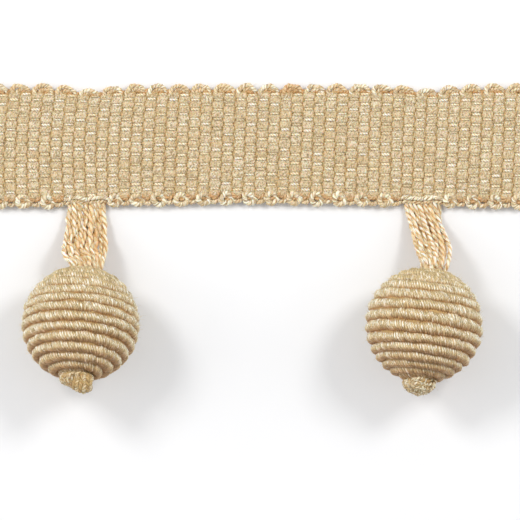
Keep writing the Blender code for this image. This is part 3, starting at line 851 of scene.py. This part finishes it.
def make_hanger(ball):
    """The strands, the stem through the ball and the knot below it."""
    centre, right, upper, front = ball_axes(ball)
    root_x, root_y = root_place(ball)
    root = np.array((root_x, root_y - ROOT_DEEP / 2, ROOT_THICK / 2))
    neck = centre + upper * (BALL_POLE + NECK_OUT)
    aside = FOOT_ASIDE[ball.side]
    piece = Piece()
    for strand in STRANDS[ball.side] + BACK_STRANDS[ball.side]:
        places, hidden = strand[:5], strand in BACK_STRANDS[ball.side]
        thick = np.array(BACK_THICK) if hidden else np.ones(len(BACK_THICK))
        start = (-0.25 if hidden else 0.25) * MM
        knots = [root + (places[0] * MM, ROOT_INSIDE, start)]
        for share in np.linspace(0.0, 0.86, KINKS):
            stray = rng.normal(0.0, STRAND_STRAY[ball.side], 2) * min(1.0, 3 * share)
            place = np.interp(share, STATIONS, places) * MM
            height = root[2] + (neck[2] - root[2]) * share**RISE_POWER
            height = height + (strand.layer * LAYER + stray[1] if share else start)
            knots.append((
                root[0] + place + stray[0] + (neck[0] + aside - root[0]) * smooth(share * 1.1 - 0.1),
                root[1] + (neck[1] - root[1]) * share,
                max(height, STRAND_HALF * np.interp(share, np.linspace(0, 1, len(thick)), thick)),
            ))
        foot = right * (places[4] * NECK_GATHER * MM + aside) + front * strand.layer * LAYER * 0.8
        knots.append(neck + foot + upper * 0.3 * MM)
        knots.append(neck + foot * 0.85 - upper * 1.2 * MM - front * 0.5 * MM)
        knots.append(neck - upper * 3.6 * MM + foot * 0.35)
        size = rng.uniform(*STRAND_SIZES, len(thick)) * thick
        # The strands behind are painted darker, as in shade: a low tone and half the rise.
        tone, rise = (0.3, 0.5) if hidden else (rng.uniform(0.45, 0.9), 1.0)
        lay_rope(piece, knots, STRAND_ROPE, tone, rng.uniform(0, 6.28), size, rise=rise)
    # The stem: what goes through the hole.
    stem = [neck - upper * 0.4 * MM, centre, centre - upper * (BALL_POLE + 1.2 * MM)]
    lay_rope(piece, stem, STEM_ROPE, 0.4)
    strands = piece.finish(f"strands_{ball.side}", materials["strand_yarn"])
    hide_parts(f"hanger_{ball.side}")
    piece = Piece()
    (make_left_knot if ball.side == "left" else make_right_knot)(piece, centre, right, upper, front)
    return strands, piece.finish(f"knot_{ball.side}", materials["knot_yarn"])


TURN_POINTS = 12


def turn_path(centre, right, upper, front, radii, heights, turns, start):
    """Knots of a path wound about the ball's axis below it. Radii and heights, in mm, are eased along it."""
    count = round(turns * TURN_POINTS) + 1
    share = np.linspace(0.0, 1.0, count)
    radius = np.interp(share, np.linspace(0, 1, len(radii)), radii) * MM
    height = np.interp(share, np.linspace(0, 1, len(heights)), heights) * MM
    angle = start + 2 * math.pi * turns * share
    return (
        centre
        + (radius * np.sin(angle))[:, None] * right
        + (radius * np.cos(angle))[:, None] * front
        - height[:, None] * upper
    )


TANGLE_SIZE = 1.2


def lay_tangle(piece, middle, axes, loops):
    """Loops of fine yarn thrown every way round an egg whose half axes are the vectors given."""
    for number in range(loops):
        one, two = np.linalg.qr(rng.normal(0.0, 1.0, (3, 2)))[0].T
        angle = np.linspace(0.0, 2 * math.pi, 15) + rng.uniform(0, 6.28)
        round_it = np.cos(angle)[:, None] * one + np.sin(angle)[:, None] * two
        round_it = round_it * rng.normal(1.0, 0.05, (15, 1))
        tone, hand = rng.uniform(0.3, 1.0), 1 - 2 * (number % 2)
        lay_rope(piece, middle + round_it @ axes, TANGLE_ROPE, tone, 0.0, TANGLE_SIZE, hand)


def lay_heart(piece, middle, axes):
    """The egg of yarn that fills a knot under its loops. Its half axes are the vectors given."""
    polar = np.linspace(0.12, math.pi - 0.12, 13)[:, None]
    angle = (np.arange(20) * 2 * math.pi / 20)[None, :]
    places = (np.sin(polar) * np.cos(angle), np.cos(polar), np.sin(polar) * np.sin(angle))
    rings = middle + np.stack(np.broadcast_arrays(*places), -1) @ axes
    # Its low depth paints it partly in shade, down under the loops.
    piece.tube(rings, rings / MM, 0.45, 0.4)


# The folds of the left knot, in mm: aside, half length along the ball's axis, half height, and thickness.
FOLDS = (
    (-1.6, 1.25, 1.2, 0.9),
    (-0.95, 1.6, 1.5, 1.0),
    (-0.3, 1.8, 1.65, 1.0),
    (0.35, 1.85, 1.65, 1.0),
    (1.0, 1.7, 1.5, 1.0),
    (1.6, 1.4, 1.2, 0.9),
)
FOLD_TONES = (0.10, 0.60)  # every other one


def make_left_knot(piece, centre, right, upper, front):
    """A turn of yarn pulled askew, and the folded end that bulges out over it."""
    turn = turn_path(
        centre, right, upper, front,
        (3.2, 3.4, 3.2, 2.9, 2.8), (12.4, 11.8, 11.4, 11.8, 12.4), 1.05, start=-2.6,
    )
    lay_rope(piece, turn, FOLD_ROPE, 0.6, 0.0, 0.8)
    bud = centre + right * 1.1 * MM - upper * (BALL_POLE + 1.15 * MM) + front * 1.7 * MM
    for number, (aside, along, up, thick) in enumerate(FOLDS):
        angle = np.linspace(-0.4, 2 * math.pi - 0.9, 12)
        knots = (
            bud
            + right * aside * MM
            - (np.cos(angle) * along * MM)[:, None] * upper
            + (np.sin(angle) * up * MM)[:, None] * front
        )
        knots = knots + rng.normal(0.0, 0.08 * MM, knots.shape)
        tone = FOLD_TONES[number % 2]
        lay_rope(piece, knots, FOLD_ROPE, tone, number * 1.3, thick, 1 - 2 * (number % 2))
    heart = [bud - right * 1.4 * MM, bud, bud + right * 1.4 * MM]
    lay_rope(piece, heart, STEM_ROPE, 0.2)
    middle = centre - upper * (BALL_POLE + 0.2 * MM)
    lay_tangle(piece, middle, np.stack((right * 2.6, upper * 1.3, front * 2.4)) * MM, 9)
    lobe = middle - right * 1.5 * MM - upper * 0.2 * MM + front * 1.5 * MM
    lay_tangle(piece, lobe, np.stack((right * 1.7, upper * 1.2, front * 1.5)) * MM, 14)
    filled = np.stack((right * 1.9, upper * 1.2, front * 1.3)) * MM
    lay_heart(piece, lobe + (right - upper) * 0.5 * MM, filled)


def make_right_knot(piece, centre, right, upper, front):
    """Yarn wound this way and that into a rounded cone."""
    middle = centre - upper * (BALL_POLE + 0.2 * MM)
    for wide, deep, loops in ((3.05, 1.9, 24), (2.0, 2.2, 12)):
        axes = np.stack((right * wide, upper * deep, front * wide)) * MM
        lay_tangle(piece, middle, axes, loops)
    lay_heart(piece, middle, np.stack((right * 2.9, upper * 1.75, front * 2.9)) * MM)
    core = turn_path(
        centre, right, upper, front, (1.7, 1.7, 1.4, 0.8), (11.6, 12.3, 13.0, 13.5), 3.0, start=2.0,
    )
    lay_rope(piece, core, PICOT_ROPE, 0.3, 0.0, 1.3)


# Fuzz

Fuzz = namedtuple("Fuzz", "hairs length")
FUZZ = {
    "warp_matte": Fuzz(500, 0.7 * MM),
    "picots": Fuzz(600, 0.7 * MM),
    "winding": Fuzz(1000, 0.8 * MM),
    "strands": Fuzz(120, 0.8 * MM),
    "knot": Fuzz(80, 0.7 * MM),
}
HAIR_RADIUS = 0.022 * MM
HAIR_STEPS, HAIR_SIDES = 4, 3
HAIR_LOWEST = 0.1 * MM


def lay_fuzz(made, kind, material):
    """Loose fibres that stand off a piece's outermost yarns."""
    fuzz, mesh = FUZZ[kind], made.data
    count = len(mesh.vertices)
    points, normals, depth = np.empty(3 * count), np.empty(3 * count), np.empty(count)
    mesh.vertices.foreach_get("co", points)
    mesh.vertex_normals.foreach_get("vector", normals)
    mesh.attributes["depth"].data.foreach_get("value", depth)
    points, normals = points.reshape(-1, 3), normals.reshape(-1, 3)
    chosen = rng.choice(np.flatnonzero((depth > 0.6) & (points[:, 2] > 0.6 * MM)), fuzz.hairs)
    piece = Piece()
    for start, normal in zip(points[chosen], normals[chosen]):
        lean, curl = rng.normal(0.0, 1.0, (2, 3))
        heading = unit(normal + 0.9 * unit(lean))
        share = np.linspace(0.0, 1.0, HAIR_STEPS)[:, None]
        length = fuzz.length * rng.uniform(0.5, 1.4)
        path = start + length * (heading * share + 0.45 * unit(curl) * share**2) - normal * 0.05 * MM
        path[:, 2] = np.maximum(path[:, 2], HAIR_LOWEST)
        around = np.arange(HAIR_SIDES) * 2 * math.pi / HAIR_SIDES
        rings = rings_round(path, (HAIR_RADIUS * (1.1 - 0.7 * share))[:, None], around, *sides_of(path))
        piece.tube(rings, rings / MM, 1.0, 0.4)
    return piece.finish(f"fuzz_{made.name}", materials[material])


ground = make_ground()
warp = make_warp()
picots = make_picots()
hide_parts("braid")
fuzz = [
    lay_fuzz(warp[0], "warp_matte", "matte_yarn"),
    lay_fuzz(picots, "picots", "picot_yarn"),
]
for ball in BALLS:
    winding = make_winding(ball)
    make_core(ball)
    strands, knot = make_hanger(ball)
    lay_fuzz(winding, "winding", "wrapped_cord")
    lay_fuzz(strands, "strands", "strand_yarn")
    lay_fuzz(knot, "knot", "knot_yarn")


# Studio

FLOOR_HALF = 1.5
FLOOR_DROP = 0.05 * MM
FLOOR_COLOURS = (0.86, 0.86, 0.865), (0.88, 0.88, 0.88)


def make_floor():
    mesh = bpy.data.meshes.new("floor")
    square = np.array(((-1, -1, 0), (1, -1, 0), (1, 1, 0), (-1, 1, 0)))
    corners = (square * FLOOR_HALF - (0.0, 0.0, FLOOR_DROP)).tolist()
    mesh.from_pydata(corners, [], [(0, 1, 2, 3)])
    made = bpy.data.objects.new("floor", mesh)
    bpy.context.scene.collection.objects.link(made)
    paint = bpy.data.materials.new("floor_paper")
    paint.use_nodes = True
    tree = paint.node_tree
    shader = tree.nodes["Principled BSDF"]
    place = tree.nodes.new("ShaderNodeTexCoord").outputs["Object"]
    mottle = linked(tree, "ShaderNodeTexNoise", {"Vector": place, "Scale": 60.0, "Detail": 2.0})
    tree.links.new(mix(tree, mottle.outputs["Fac"], *FLOOR_COLOURS), shader.inputs["Base Color"])
    shader.inputs["Roughness"].default_value = 0.9
    shader.inputs["Specular IOR Level"].default_value = 0.2
    mesh.materials.append(paint)


# A large soft fill and a small key stand on either side, towards the free edge.
Lamp = namedtuple("Lamp", "name place size watts")
LAMPS = (
    Lamp("fill_left", (-1.05, 0.15, 0.50), 0.90, 3.6),
    Lamp("fill_right", (1.05, 0.15, 0.50), 0.90, 2.2),
    Lamp("lamp_left", (-0.42, 0.285, 0.61), 0.20, 2.2),
    Lamp("lamp_right", (0.42, 0.285, 0.61), 0.20, 2.1),
)
LAMP_AIM = (0.0, -0.02, 0.0)
AMBIENT, AMBIENT_COLOUR = 0.57, (0.97, 0.98, 1.0, 1.0)


def make_studio():
    for lamp in LAMPS:
        light = bpy.data.lights.new(lamp.name, "AREA")
        light.size = lamp.size
        light.energy = lamp.watts
        made = bpy.data.objects.new(lamp.name, light)
        made.visible_camera = False
        bpy.context.scene.collection.objects.link(made)
        made.location = lamp.place
        made.rotation_mode = "QUATERNION"
        made.rotation_quaternion = (Vector(LAMP_AIM) - Vector(lamp.place)).to_track_quat("-Z", "Y")
    world = bpy.data.worlds.new("studio")
    world.use_nodes = True
    background = world.node_tree.nodes["Background"]
    background.inputs["Color"].default_value = AMBIENT_COLOUR
    background.inputs["Strength"].default_value = AMBIENT
    bpy.context.scene.world = world
    bpy.context.scene.view_settings.view_transform = "Standard"


VIEW_MIDDLE = (1.08 * MM, -23.47 * MM)
VIEW_WIDE = 107.07 * MM
VIEW_FAR = 4.0
FILM = 36.0


def make_camera():
    camera = bpy.data.cameras.new("camera")
    camera.sensor_width = FILM
    camera.lens = FILM * VIEW_FAR / VIEW_WIDE
    camera.clip_start, camera.clip_end = 0.1, 20.0
    made = bpy.data.objects.new("camera", camera)
    bpy.context.scene.collection.objects.link(made)
    made.location = (*VIEW_MIDDLE, VIEW_FAR)
    bpy.context.scene.camera = made


make_floor()
make_studio()
make_camera()
